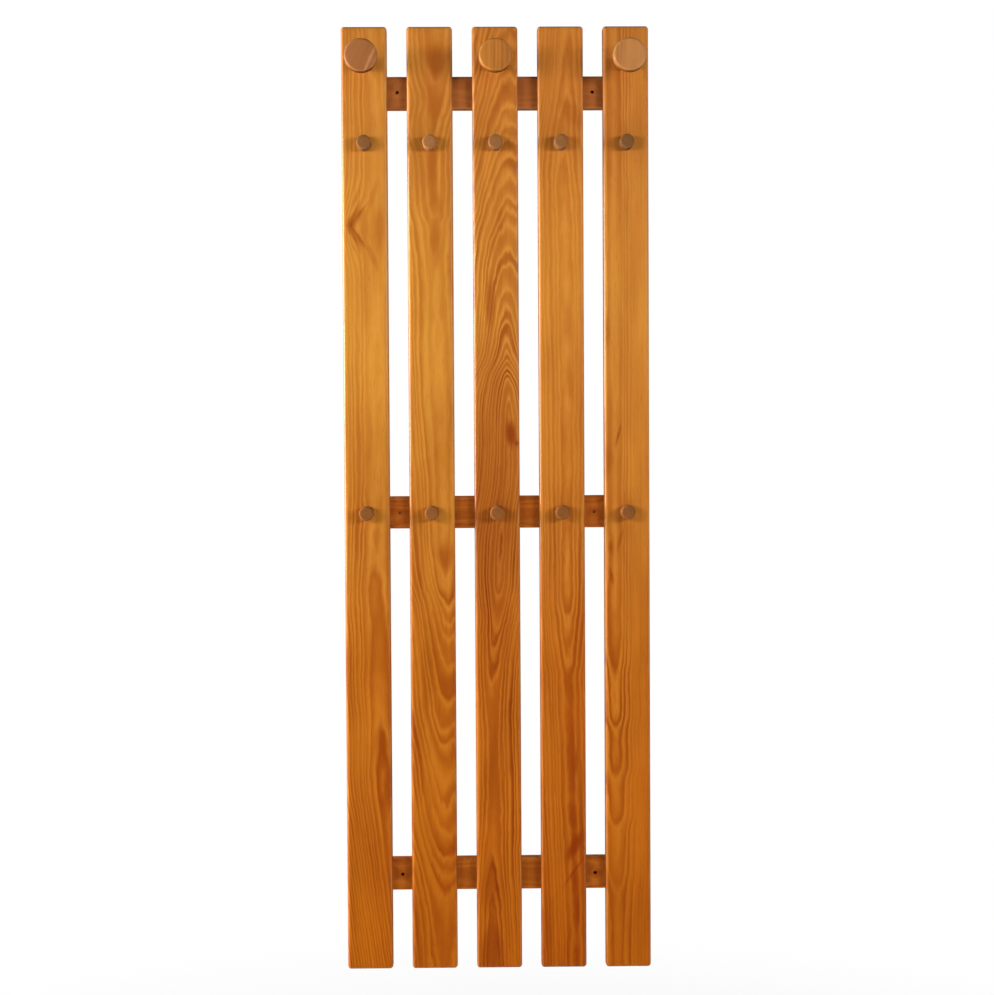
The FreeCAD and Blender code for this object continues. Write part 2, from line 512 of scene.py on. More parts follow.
def pine_grain() -> Tree:
    """Group that colours pine by its rings, with fibres, flecks and cloudy tone.

    Returns:
        The group.
    """
    sheet = NodeSheet.group("pine_grain", {
        "Place": VECTOR, "Rings": NUMBER, "Early": COLOUR, "Late": COLOUR, "Pale": COLOUR, "Lines": NUMBER,
        "Fibres": NUMBER, "Clouds": NUMBER, "Seed": NUMBER},
        {"Colour": COLOUR, "Relief": NUMBER, "Roughness": NUMBER})
    place, rings, early, late, pale, lines, fibres, clouds, seed = sheet.given.values()
    share = sheet.calc("FRACT", rings)
    year = sheet.calc("FLOOR", rings) + seed
    draw = sheet.put("ShaderNodeTexWhiteNoise", {"W": year}, noise_dimensions="1D")
    drift = sheet.swing(place, BAND_WIDTH, seed + BAND_SEED, 1.0) * BAND_DRIFT
    rise = sheet.ramp(drift + share, *BAND_RISE)
    strength = sheet.ramp(sheet.noise(place, BAND_FADE, seed), *FADING, *FADED) * lines
    band = rise * sheet.ramp(share, *BAND_FALL) * (draw * YEAR_SHARE + FAINTEST_YEAR) * strength
    fibre = sheet.noise(place, FIBRE, seed, 3.0)
    warm = sheet.ramp(sheet.noise(place, WARMTH, seed + WARM_SEED), *WARM_EDGE)
    ground = sheet.blend(warm * TINT_SHARE, early, late)
    colour = sheet.blend(sheet.ramp(share, *PALE_FALL) * strength * TINT_SHARE, ground, pale)
    colour = sheet.blend(band, colour, late)
    streak = sheet.swing(place, STREAK, seed + STREAK_SEED, 3.0)
    cloud = sheet.swing(place, CLOUD, seed, 3.0)
    for shade, amount in ((fibre - 0.5, fibres), (streak, fibres), (cloud, clouds)):
        colour = sheet.tinted(colour, shade * amount + 1.0)
    fleck = sheet.ramp(sheet.noise(place, FLECK, seed, 1.0), *FLECK_EDGE)
    return sheet.done(Colour=sheet.blend(fleck * TINT_SHARE, colour, late),
                      Relief=band * BAND_RELIEF + fibre * FIBRE_RELIEF,
                      Roughness=fibre * FIBRE_ROUGHNESS + SMOOTHEST)


def height_tint_with_painted_light() -> Tree:
    """Group that tints the lacquer from amber in the upper half to red brown at the foot, and paints in
    light: brightest at 0.7 of the height, with painted shade towards the foot and the top.

    Returns:
        The group.
    """
    sheet = NodeSheet.group("height_tint_with_painted_light", {"Colour": COLOUR, "Height": NUMBER}, {"Colour": COLOUR})
    colour, height = sheet.given.values()
    node = sheet.add("ShaderNodeValToRGB", {0: sheet.spread(height, TINT_FOOT, TINT_TOP, 0.0, 1.0)})
    ramp = node.color_ramp
    ramp.interpolation = "EASE"
    while len(ramp.elements) < len(TINT_AND_LIGHT_STOPS):
        ramp.elements.new(0.5)
    for element, (position, tint) in zip(ramp.elements, TINT_AND_LIGHT_STOPS):
        element.position, element.color = position, (*tint, 1.0)
    return sheet.done(Colour=sheet.tinted(colour, Value(sheet, node.outputs[0])))


def edge_wear() -> Tree:
    """Group that lightens the arrises in patches: handled wear, and partly a painted highlight where the
    arrises catch the light.

    Returns:
        The group.
    """
    sheet = NodeSheet.group("edge_wear", {
        "Colour": COLOUR, "Place": VECTOR, "Arris": NUMBER, "Worn": paint(226, 172, 104), "Amount": NUMBER,
        "Seed": NUMBER}, {"Colour": COLOUR, "Wear": NUMBER})
    colour, place, arris, worn_and_highlit, amount, seed = sheet.given.values()
    patch = sheet.ramp(sheet.noise(place, WEAR_AND_HIGHLIGHT_PATCH, seed, 3.0), *WORN_AND_HIGHLIT_PATCH)
    wear_and_highlight = sheet.ramp(arris, *WORN_AND_HIGHLIT_ARRIS) * patch * amount
    return sheet.done(Colour=sheet.blend(wear_and_highlight, colour, worn_and_highlit), Wear=wear_and_highlight)


def cut_end() -> Tree:
    """Group that darkens the ends of the wood, where the cut fibres drink more lacquer.

    Returns:
        The group.
    """
    sheet = NodeSheet.group("cut_end", {
        "Colour": COLOUR, "Place": VECTOR, "Facing": NUMBER, "End Tint": COLOUR, "Seed": NUMBER},
        {"Colour": COLOUR, "End": NUMBER})
    colour, place, facing, tint, seed = sheet.given.values()
    end = sheet.ramp(sheet.calc("ABSOLUTE", facing), *END_FACING)
    ended = sheet.tinted(sheet.tinted(colour, tint), sheet.swing(place, PORES, seed, 4.0) * PORE_DEPTH + 1.0)
    return sheet.done(Colour=sheet.blend(end, colour, ended), End=end)


# Geometry Nodes trees

def eased_axis() -> Tree:
    """Group that spreads the steps of one axis over a flat and its rounded edges.

    Returns:
        The group.
    """
    sheet = ShapeSheet.group("eased_axis", {
        "Share": NUMBER, "Half": NUMBER, "Radius": NUMBER, "Flat Share": NUMBER, "Crowding": 1.0},
        {"Place": NUMBER})
    share, half, radius, flat_share, crowding = sheet.given.values()
    size = sheet.calc("ABSOLUTE", share)
    flat = sheet.calc("MINIMUM", size / flat_share, 1.0)
    flat = flat + (sheet.calc("SINE", flat * (math.pi / 2)) - flat) * crowding
    edge = sheet.calc("MAXIMUM", (size - flat_share) / (1.0 - flat_share), 0.0)
    turned = sheet.calc("TANGENT", edge * (math.pi / 4)) * radius
    return sheet.done(Place=(flat * (half - radius) + turned) * sheet.calc("SIGN", share))


BOARD_INPUTS: dict[str, object] = {
    "Size": VECTOR, "Centre": VECTOR, "Steps X": WHOLE, "Steps Y": WHOLE, "Steps Z": WHOLE, "Edge Steps": 5,
    "Edge Radius": NUMBER, "Edge Wear": NUMBER, "Unevenness": NUMBER, "Seed": NUMBER}
SCREW_INPUTS: dict[str, object] = {
    "Screw Count": 5, "Screw Pitch": 0.1, "Screw Side": 0.015, "Screw Rise": 0.013, "Head Diameter": 0.008}
# A board crowds its steps towards the edges on sides whose half is shorter than this
CROWDED_HALF = 0.1

# Steps of round shapes, how far cutters go past the wood, room round the screw heads, and the shank's shape
ROUND_STEPS, SHANK_ROUND_STEPS, SHANK_SIDE_STEPS = 40, 20, 90
BORE_OVERCUT, MOUTH_OVERCUT, SLOT_OVERCUT = 1.4, 2.1, 1.2
MOUTH_FLARE, MOUTH_ROOM = 0.00035, 0.00005
SHANK_START, TIP_WIDTH = 0.6, 0.03


def eased_board(axis: Tree) -> Tree:
    """Group that makes a sawn board with hand-eased edges.

    Args:
        axis: The eased_axis group.

    Returns:
        The group, which marks the arrises on the board.
    """
    sheet = ShapeSheet.shape("eased_board", BOARD_INPUTS)
    size, centre, *steps, edge_steps, edge_radius, edge_wear, unevenness, seed = sheet.given.values()
    cube = sheet.put("GeometryNodeMeshCube", {"Size": (2.0, 2.0, 2.0)} | {
        f"Vertices {name}": count + 1 for name, count in zip("XYZ", steps)})
    share = sheet.position()
    half = sheet.scaled(size, 0.5)
    rough_place = sheet.vector("MULTIPLY", share, half)
    radius = edge_radius * (sheet.swing(rough_place, EDGE_WAVES, seed) * edge_wear * 2.0 + 1.0)
    spot = sheet.joined(*(sheet.place(axis, {
        "Share": part, "Half": reach, "Radius": radius, "Flat Share": 1.0 - edge_steps * 2.0 / count,
        "Crowding": sheet.calc("LESS_THAN", reach, CROWDED_HALF)})["Place"]
        for part, reach, count in zip(sheet.parts(share), sheet.parts(half), steps)))
    core = sheet.vector("SUBTRACT", half, sheet.joined(radius, radius, radius))
    inner = sheet.vector("MINIMUM", sheet.vector("MAXIMUM", spot, sheet.scaled(core, -1.0)), core)
    outward = sheet.vector("NORMALIZE", sheet.vector("SUBTRACT", spot, inner))
    stand = radius - sheet.noise(rough_place, FACE_WAVES, seed) * unevenness
    surface = sheet.vector("ADD", inner, sheet.scaled(outward, stand))
    x, y, z = sheet.parts(sheet.vector("ABSOLUTE", outward))
    marked = sheet.store(cube, ARRIS, 1.0 - sheet.calc("MAXIMUM", sheet.calc("MAXIMUM", x, y), z))
    return sheet.done(Geometry=sheet.smooth(sheet.bent(marked, sheet.vector("ADD", surface, centre))))


def placed_board(sheet: ShapeSheet, board: Tree) -> Value:
    """Place the board group and pass the tree's own inputs on to it."""
    return sheet.place(board, {name: sheet.given[name] for name in BOARD_INPUTS})["Geometry"]


def slat_tree(board: Tree) -> Tree:
    """Tree of one slat."""
    sheet = ShapeSheet.shape("slat", BOARD_INPUTS | {"Material": FINISH})
    return sheet.finish(placed_board(sheet, board))


def rail_tree(board: Tree) -> Tree:
    """Tree of one rail, with its bored wall holes and the mouths of its countersunk holes.

    Args:
        board: The eased_board group.

    Returns:
        The tree.
    """
    sheet = ShapeSheet.shape("rail", BOARD_INPUTS | SCREW_INPUTS | {
        "Bore Diameter": NUMBER, "Bore Spacing": 0.3, "Head Sink": NUMBER, "Material": FINISH})
    bore_diameter, spacing, sink, _ = list(sheet.given.values())[-4:]
    x, y, z = sheet.parts(sheet.given["Centre"])
    depth = sheet.parts(sheet.given["Size"])[1]
    inward = (math.pi / 2, 0.0, 0.0)
    bore = sheet.moved(sheet.put("GeometryNodeMeshCylinder", {
        "Vertices": ROUND_STEPS, "Radius": bore_diameter * 0.5, "Depth": depth * BORE_OVERCUT}),
        Rotation=inward)
    bore_row = sheet.line(2, sheet.joined(spacing * -0.5 + x, y, z), sheet.joined(spacing, 0.0, 0.0))
    radius = sheet.given["Head Diameter"] * 0.5
    mouth = sheet.moved(sheet.put("GeometryNodeMeshCone", {
        "Vertices": ROUND_STEPS, "Radius Bottom": radius + MOUTH_FLARE, "Radius Top": radius + MOUTH_ROOM,
        "Depth": sink * MOUTH_OVERCUT}), Rotation=inward)
    cutters = [sheet.real(sheet.instances(bore_row, bore))]
    mouth_rows = sheet.screw_rows(depth * 0.5 + y + sink, z)
    cutters += [sheet.real(sheet.instances(row, mouth)) for row in mouth_rows]
    return sheet.finish(sheet.cut(placed_board(sheet, board), cutters, "MANIFOLD"))


def turned_tree(axis: Tree) -> Tree:
    """Tree of a row of turned rounds that stand out from the slats.

    Args:
        axis: The eased_axis group.

    Returns:
        The tree; it stores each round's own place, its tone and its rounded rims.
    """
    tones = [f"Tone {number}" for number in range(1, ROW_TONES + 1)]
    sheet = ShapeSheet.shape("turned_row", {
        "Count": WHOLE, "Start": VECTOR, "Step": VECTOR, "Diameter": NUMBER, "Length": NUMBER,
        "Front Radius": NUMBER, "Back Radius": 0.0003, "Crown": 0.0004, "Around": 72, "Side Steps": 24,
        "Face Steps": 16, "Edge Steps": 5, "Roll": 6.283, "Seed": 0,
        "Material": FINISH} | dict.fromkeys(tones, 1.0))
    (count, start, step, diameter, length, front_radius, back_radius, crown, around, side_steps, face_steps,
     edge_steps, roll, seed, *_) = sheet.given.values()
    blank = sheet.put("GeometryNodeMeshCylinder", {
        "Vertices": around, "Side Segments": side_steps, "Fill Segments": face_steps, "Radius": 1.0,
        "Depth": 2.0}, fill_type="TRIANGLE_FAN")
    x, y, z = sheet.parts(sheet.position())
    flat_place = sheet.joined(x, y, 0.0)
    spoke_x, spoke_y, _ = sheet.parts(sheet.vector("NORMALIZE", flat_place))
    radius = (front_radius - back_radius) * sheet.calc("GREATER_THAN", z, 0.0) + back_radius
    half_width, half_length = diameter * 0.5, length * 0.5
    out = sheet.place(axis, {
        "Share": sheet.vector("LENGTH", flat_place), "Half": half_width, "Radius": radius,
        "Flat Share": 1.0 - edge_steps / face_steps})["Place"]
    ahead = sheet.place(axis, {
        "Share": z, "Half": half_length, "Radius": radius,
        "Flat Share": 1.0 - edge_steps * 2.0 / side_steps})["Place"]
    ahead_core = half_length - radius
    out_in = sheet.calc("MINIMUM", out, half_width - radius)
    ahead_in = sheet.calc("MINIMUM", sheet.calc("MAXIMUM", ahead, -ahead_core), ahead_core)
    turn = sheet.vector("NORMALIZE", sheet.joined(out - out_in, ahead - ahead_in, 0.0))
    turn_out, turn_ahead, _ = sheet.parts(turn)
    out = turn_out * radius + out_in
    fall = crown * sheet.calc("POWER", out / half_width, 2.0) * sheet.calc("MAXIMUM", z, 0.0)
    ahead = turn_ahead * radius + ahead_in - fall
    rim = 1.0 - sheet.calc("MAXIMUM", sheet.calc("ABSOLUTE", turn_out), sheet.calc("ABSOLUTE", turn_ahead))
    turned = sheet.bent(sheet.store(blank, ARRIS, rim), sheet.joined(out * spoke_x, -ahead, out * spoke_y))
    turned = sheet.smooth(sheet.store(turned, Source.OWN_PLACE.value, sheet.position(), "FLOAT_VECTOR"))
    row = sheet.instances(sheet.line(count, start, step), turned, Rotation=sheet.any_roll(roll, seed))
    place_in_row = sheet.put("GeometryNodeInputIndex")
    pick = sheet.add("GeometryNodeIndexSwitch", {"Index": place_in_row}, data_type="FLOAT")
    while len(pick.index_switch_items) < ROW_TONES:
        pick.index_switch_items.new()
    sheet.fill(pick, {place: sheet.given[tone] for place, tone in enumerate(tones, 1)})
    return sheet.finish(sheet.store(row, TONE, Value(sheet, pick.outputs[0]), domain="INSTANCE"))


def screw_tree() -> Tree:
    """Tree of a rail's slotted countersunk wood screws, heads towards the wall.

    Returns:
        The tree.
    """
    sheet = ShapeSheet.shape("slat_screws", SCREW_INPUTS | {
        "Level": NUMBER, "Head Top": NUMBER, "Head Height": 0.0024, "Diameter": 0.004, "Length": 0.0344,
        "Tip": 0.006, "Plain": 0.012, "Thread Pitch": 0.0018, "Thread Depth": 0.25, "Slot Width": 0.0011,
        "Slot Depth": 0.0012, "Seed": WHOLE, "Material": FINISH})
    (head_diameter, level, head_top, head_height, diameter, length, tip, plain, thread_pitch, thread_depth,
     slot_width, slot_depth, seed, _) = list(sheet.given.values())[4:]
    shank_radius = diameter * 0.5
    head = sheet.moved(sheet.put("GeometryNodeMeshCone", {
        "Vertices": ROUND_STEPS, "Radius Bottom": shank_radius, "Radius Top": head_diameter * 0.5,
        "Depth": head_height}), Translation=sheet.joined(0.0, 0.0, -head_height))
    slot_size = sheet.joined(head_diameter * SLOT_OVERCUT, slot_width, slot_depth * 2.0)
    slot = sheet.put("GeometryNodeMeshCube", {"Size": slot_size})
    body = length - head_height * SHANK_START
    shank = sheet.put("GeometryNodeMeshCylinder", {
        "Vertices": SHANK_ROUND_STEPS, "Side Segments": SHANK_SIDE_STEPS, "Radius": shank_radius,
        "Depth": body}, fill_type="TRIANGLE_FAN")
    shank = sheet.moved(shank, Translation=sheet.joined(0.0, 0.0, body * 0.5 - length))
    x, y, z = sheet.parts(sheet.position())
    phase = sheet.calc("FRACT", z / thread_pitch + sheet.calc("ARCTAN2", y, x) / (2 * math.pi))
    groove = sheet.calc("ABSOLUTE", phase * 2.0 - 1.0) * sheet.calc("LESS_THAN", z, -plain) * thread_depth
    taper = sheet.calc("MAXIMUM", sheet.calc("MINIMUM", (z + length) / tip, 1.0), TIP_WIDTH)
    width = (1.0 - groove) * taper
    threaded = sheet.bent(shank, sheet.joined(x * width, y * width, z))
    screw = sheet.join([sheet.cut(head, [slot], "EXACT"), threaded])
    stood = sheet.moved(screw, Rotation=(-math.pi / 2, 0.0, 0.0))
    points = sheet.join(sheet.screw_rows(head_top, level))
    return sheet.finish(sheet.smooth(sheet.instances(points, stood, Rotation=sheet.any_roll(math.pi, seed))))


class Library:
    """The node groups and trees, each built once."""

    def __init__(self) -> None:
        """Build every group and tree."""
        axis = eased_axis()
        board = eased_board(axis)
        self.slat, self.rail = slat_tree(board), rail_tree(board)
        self.turned, self.screws = turned_tree(axis), screw_tree()
        self.rings, self.knot, self.grain = log_rings(), knot_swirl(), pine_grain()
        self.tone, self.wear_and_highlight, self.end = height_tint_with_painted_light(), edge_wear(), cut_end()


# Finishes

def new_material(name: str) -> tuple[bpy.types.Material, NodeSheet, bpy.types.Node]:
    """Start a material.

    Args:
        name: Name of the material.

    Returns:
        The material, its sheet and its Principled shader.
    """
    material = bpy.data.materials.new(name)
    material.use_nodes = True
    return material, NodeSheet(material.node_tree), material.node_tree.nodes["Principled BSDF"]


@dataclass(frozen=True)
class Figure:
    """Where the log's heart lies behind the face at one place along a board, and the ring over it."""
    along: float
    across: float
    depth: float
    ring: float | None = None


@dataclass(frozen=True)
class Knot:
    """A knot or a dark streak in the face of a board."""
    along: float
    across: float
    size: float
    stretch: float = 1.5
    surround: float = 0.45
    lean: float = 0.0
    taper: float = 0.0
    core: float = 0.0
    push: float = 0.0


@dataclass(frozen=True)
class PineFinish:
    """Satin lacquered pine with its own figure, whose rows hold the values of a Figure each."""
    name: str
    centre: Triple = (0.0, 0.0, 0.0)
    grain: Grain = Grain.UPRIGHT
    source: Source = Source.OBJECT
    early: Colour = paint(222, 150, 54)
    late: Colour = paint(164, 75, 17)
    pale: Colour = paint(236, 174, 86)
    heart: Colour = paint(104, 50, 22)
    figure: tuple[Row, ...] = ((0.0, 0.0, 0.05),)
    knots: tuple[Knot, ...] = ()
    ring_width: float = 0.0034
    wander: float = 0.0016
    lines: tuple[tuple[float, float], ...] = ((0.0, 0.9),)
    plain_side: tuple[float, float] | None = None
    plain_lines: float = 0.25
    fibres: float = 0.22
    clouds: float = 0.3
    # Pale arrises in patches: handled wear, and partly a painted highlight
    wear_and_highlight: float = 0.25
    sheen: float = 0.1
    polish: float = 0.2
    polished_arris: tuple[float, float] = (0.01, 0.2)
    end_roughness: float = 0.12
    worn_roughness: float = 0.15
    # Painted light and shade by height, together with a tint from red brown to amber
    painted_light_and_tint: bool = False
    end_tint: Colour = paint(190, 178, 165)
    turn: float = 0.0
    seed: float = 0.0

    def material(self, library: Library) -> bpy.types.Material:
        """Make the material.

        Args:
            library: The shared node groups.

        Returns:
            The finished material.
        """
        material, sheet, shader = new_material(self.name)
        texture = sheet.add("ShaderNodeTexCoord")
        place, facing = self.place(sheet, texture)
        here = {"Place": place, "Seed": self.seed}
        rings = sheet.place(library.rings, here | self.heart_line(sheet, sheet.parts(place)[2]) | {
            "Ring Width": self.ring_width, "Wander": self.wander})["Rings"]
        swirls = [sheet.place(library.knot, {
            "Place": place, "Across": knot.across, "Along": knot.along, "Size": knot.size,
            "Stretch": knot.stretch, "Lean": knot.lean, "Taper": knot.taper}) for knot in self.knots]
        for knot, swirl in zip(self.knots, swirls):
            rings = swirl["Push"] * knot.push + rings
        grain = sheet.place(library.grain, here | {
            "Rings": rings, "Early": self.early, "Late": self.late, "Pale": self.pale, "Fibres": self.fibres,
            "Lines": self.line_strength(sheet, place), "Clouds": self.clouds})
        colour = grain["Colour"]
        for knot, swirl in zip(self.knots, swirls):
            colour = sheet.blend(swirl["Surround"] * knot.surround, colour, self.late)
            colour = sheet.blend(swirl["Core"] * knot.core, colour, self.heart)
        if self.source is Source.OWN_PLACE:
            colour = sheet.tinted(colour, sheet.mark(TONE))
        # Painted light by height: brightest at 0.7 of the slat's height, painted shade towards its foot and
        # top, with a tint
        if self.painted_light_and_tint:
            height = sheet.parts(Value(sheet, texture.outputs["Object"]))[2]
            colour = sheet.place(library.tone, {"Colour": colour, "Height": height})["Colour"]
        ended = sheet.place(library.end, here | {
            "Colour": colour, "Facing": facing, "End Tint": self.end_tint})
        arris = sheet.mark(ARRIS)
        # Pale arrises in patches: handled wear, and partly a painted highlight
        worn_and_highlit = sheet.place(library.wear_and_highlight, here | {
            "Colour": ended["Colour"], "Arris": arris, "Amount": self.wear_and_highlight})
        gloss = sheet.ramp(arris, *self.polished_arris, self.sheen, self.polish) * (1.0 - ended["End"])
        bump = sheet.put("ShaderNodeBump", {"Strength": 0.2, "Distance": 0.0003, "Height": grain["Relief"]})
        rough = grain["Roughness"] + ended["End"] * self.end_roughness + worn_and_highlit["Wear"] * self.worn_roughness
        sheet.fill(shader, {
            "Base Color": worn_and_highlit["Colour"], "Roughness": rough, "Normal": bump, "Coat Weight": gloss,
            "Coat Roughness": 0.3, "Specular IOR Level": 0.0})
        return material

    def place(self, sheet: NodeSheet, texture: bpy.types.Node) -> tuple[Value, Value]:
        """Read the place on the wood, turned so that its third part runs along the grain.

        Args:
            sheet: The material's nodes.
            texture: Its Texture Coordinate node.

        Returns:
            The place in the board's own terms, and how far the surface faces along the grain.
        """
        own = self.source is Source.OWN_PLACE
        source = sheet.mark(self.source.value, "Vector") if own else Value(sheet, texture.outputs["Object"])
        moved = sheet.put("ShaderNodeMapping", {
            "Vector": source, "Location": tuple(-part for part in self.centre),
            "Rotation": (0.0, math.radians(self.turn), 0.0)})
        axes = dict(zip("XYZ", sheet.parts(moved)))
        facing = dict(zip("XYZ", sheet.parts(Value(sheet, texture.outputs["Normal"]))))
        return sheet.joined(*(axes[name] for name in self.grain.value)), facing[self.grain.value[2]]

    def heart_line(self, sheet: NodeSheet, along: Value) -> dict[str, Term]:
        """Follow the log's heart along the board.

        Args:
            sheet: The material's nodes.
            along: The place along the grain.

        Returns:
            The inputs of log_rings that change along the board.
        """
        spots = [Figure(*row) for row in self.figure]
        return {"Heart Across": sheet.curve(along, [(spot.along, spot.across) for spot in spots]),
                "Heart Depth": sheet.curve(along, [(spot.along, spot.depth) for spot in spots]),
                "Crest Ring": sheet.curve(along, [
                    (spot.along, spot.ring or spot.depth / self.ring_width) for spot in spots])}

    def line_strength(self, sheet: NodeSheet, place: Value) -> Term:
        """Set the strength of the ring lines along the board, fading towards a plain side where it has one.

        Args:
            sheet: The material's nodes.
            place: The place in the board's own terms.

        Returns:
            The strength at the place.
        """
        across, _, along = sheet.parts(place)
        strength = sheet.curve(along, self.lines)
        if self.plain_side is None:
            return strength
        return sheet.ramp(across, *self.plain_side, 1.0, self.plain_lines) * strength


@dataclass(frozen=True)
class SteelFinish:
    """Dull zinc plated screw steel with brushed marks and a little dark grime."""
    name: str = "screw_steel"
    colour: Colour = paint(176, 176, 172)
    grime: Colour = paint(92, 84, 74)
    grime_edge: tuple[float, float] = (0.45, 0.72)
    grime_share: float = 0.6
    dulled: float = 0.35
    brushed: float = 0.25
    smoothest: float = 0.25

    def material(self) -> bpy.types.Material:
        """Make the material.

        Returns:
            The finished material.
        """
        material, sheet, shader = new_material(self.name)
        place = sheet.put("ShaderNodeTexCoord", None, "Object")
        marks = sheet.noise(place, BRUSH_MARKS, 1.0)
        stain = sheet.ramp(sheet.noise(place, STAIN, 2.0, 4.0), *self.grime_edge)
        sheet.fill(shader, {
            "Base Color": sheet.blend(stain * self.grime_share, self.colour, self.grime),
            "Roughness": marks * self.brushed + self.smoothest, "Metallic": stain * -self.dulled + 1.0,
            "Normal": sheet.put("ShaderNodeBump", {"Strength": 0.3, "Distance": 0.0001, "Height": marks})})
        return material


# Pieces

def add_object(name: str, data: bpy.types.ID) -> Piece:
    """Add an object to the scene.

    Args:
        name: Name of the object.
        data: Its mesh, light or camera.

    Returns:
        The new object.
    """
    thing = bpy.data.objects.new(name, data)
    bpy.context.scene.collection.objects.link(thing)
    return thing


def make_piece(name: str, tree: Tree, inputs: dict[str, object], crease: float = 40.0) -> Piece:
    """Run a tree and keep its result as a plain mesh.

    Args:
        name: Name of the piece.
        tree: The Geometry Nodes tree.
        inputs: Values by input name; the tree's own values hold for the rest.
        crease: Angle in degrees from which an edge stays sharp.

    Returns:
        The piece, at the origin and without modifiers.
    """
    blank = add_object(f"{name}_blank", bpy.data.meshes.new(f"{name}_blank"))
    modifier = blank.modifiers.new(tree.name, "NODES")
    modifier.node_group = tree
    for item in tree.interface.items_tree:
        if item.in_out == "INPUT" and item.name in inputs:
            modifier[item.identifier] = inputs[item.name]
    mesh = bpy.data.meshes.new_from_object(blank.evaluated_get(bpy.context.evaluated_depsgraph_get()))
    mesh.name = name
    mesh.set_sharp_from_angle(angle=math.radians(crease))
    blank.modifiers.remove(modifier)
    bpy.data.objects.remove(blank)
    return add_object(name, mesh)


def box_of(node: str) -> tuple[Vector, Vector]:
    """Lowest and highest corner of a CAD node."""
    low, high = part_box(node)
    return Vector(low), Vector(high)


def step_between(first: str, second: str) -> Vector:
    """Step to the right from one CAD node to the next."""
    return Vector((box_of(second)[0].x - box_of(first)[0].x, 0.0, 0.0))


@dataclass(frozen=True)
class BoardShape:
    """How the edges and faces of a board are worked."""
    edge_radius: float
    edge_wear: float
    unevenness: float
    steps: tuple[int, int, int]

    def inputs(self, node: str, seed: float) -> dict[str, object]:
        """Work out the inputs of a board's tree.

        Args:
            node: The CAD node that the board stands for.
            seed: Seed of its worn edges.

        Returns:
            Values by input name.
        """
        low, high = box_of(node)
        return {"Size": high - low, "Centre": (low + high) / 2, "Edge Radius": self.edge_radius,
                "Edge Wear": self.edge_wear, "Unevenness": self.unevenness, "Seed": seed} | {
            f"Steps {name}": count for name, count in zip("XYZ", self.steps)}


@dataclass
class Assembly:
    """One kind of piece on the rack, built first and then dressed."""
    SLOT: ClassVar[Slot]
    pieces: list[tuple[Piece, list[str]]] = field(default_factory=list, init=False)

    def dress(self) -> None:
        """Let each piece ride on the rack's body and stand for its CAD nodes."""
        for piece, nodes in self.pieces:
            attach(piece, BODY)
            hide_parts(*nodes)
            LOG.info("%s: %d faces, stands for %s", piece.name, len(piece.data.polygons), ", ".join(nodes))


@dataclass
class Slats(Assembly):
    """The five upright slats."""
    SLOT = Slot.SLAT
    finishes: tuple[dict, ...]
    shape: BoardShape = BoardShape(0.005, 0.12, 0.00006, (26, 16, 320))
    wood_seed: float = 11.3
    edge_seed: float = 3.7

    def build(self, library: Library) -> None:
        """Make each slat with its own figure.

        Args:
            library: The shared node groups and trees.
        """
        for number, finish in enumerate(self.finishes, 1):
            node = f"slat_{number}"
            low, high = box_of(node)
            wood = PineFinish(f"slat_pine_{number}", ((low.x + high.x) / 2, low.y, high.z),
                              seed=self.wood_seed * number, **finish)
            inputs = self.shape.inputs(node, self.edge_seed * number) | {"Material": wood.material(library)}
            self.pieces.append((make_piece(f"{node}_eased", library.slat, inputs), [node]))


@dataclass
class Rails(Assembly):
    """The three rails behind the slats."""
    SLOT = Slot.RAIL
    finishes: dict[str, dict]
    shape: BoardShape = BoardShape(0.004, 0.25, 0.0001, (160, 16, 22))
    bore_diameter: float = 0.0055
    head_sink: float = 0.0006
    first_wood_seed: float = 60.0
    wood_seed_step: float = 7.9
    first_edge_seed: float = 40.0

    def build(self, library: Library) -> None:
        """Make each rail with its bores.

        Args:
            library: The shared node groups and trees.
        """
        for number, (level, finish) in enumerate(self.finishes.items(), 1):
            node = f"{level}_rail"
            low, high = box_of(node)
            wood = PineFinish(f"rail_pine_{level}", (low.x, low.y, (low.z + high.z) / 2), Grain.LEVEL,
                              seed=self.first_wood_seed + self.wood_seed_step * number, **finish)
            inputs = self.shape.inputs(node, self.first_edge_seed + number) | {
                "Bore Diameter": self.bore_diameter, "Head Sink": self.head_sink,
                "Material": wood.material(library)}
            self.pieces.append((make_piece(f"{node}_bored", library.rail, inputs), [node]))


@dataclass
class CoatPegs(Assembly):
    """The two rows of coat pegs."""
    SLOT = Slot.PEG
    finishes: dict[str, dict]
    tones: dict[str, Row]
    edge_radius: float = 0.003
    root: float = 0.003
    first_wood_seed: float = 90.0
    roll_seed: int = 5

    def build(self, library: Library) -> None:
        """Make each row of pegs.

        Args:
            library: The shared node groups and trees.
        """
        slat_front = box_of("slat_1")[0].y
        for number, (row, finish) in enumerate(self.finishes.items(), 1):
            nodes = [f"{row}_peg_{place}" for place, _ in enumerate(self.tones[row], 1)]
            low, high = box_of(nodes[0])
            middle, length = (low + high) / 2, slat_front + self.root - low.y
            wood = PineFinish(f"peg_pine_{row}", grain=Grain.OUTWARD, source=Source.OWN_PLACE,
                              seed=self.first_wood_seed + number, **finish)
            inputs = {
                "Count": len(nodes), "Start": Vector((middle.x, low.y + length / 2, middle.z)),
                "Step": step_between(*nodes[:2]), "Diameter": high.x - low.x, "Length": length,
                "Front Radius": self.edge_radius, "Seed": self.roll_seed * number,
                "Material": wood.material(library)}
            inputs |= {f"Tone {place}": tone for place, tone in enumerate(self.tones[row], 1)}
            self.pieces.append((make_piece(f"{row}_coat_pegs", library.turned, inputs), nodes))


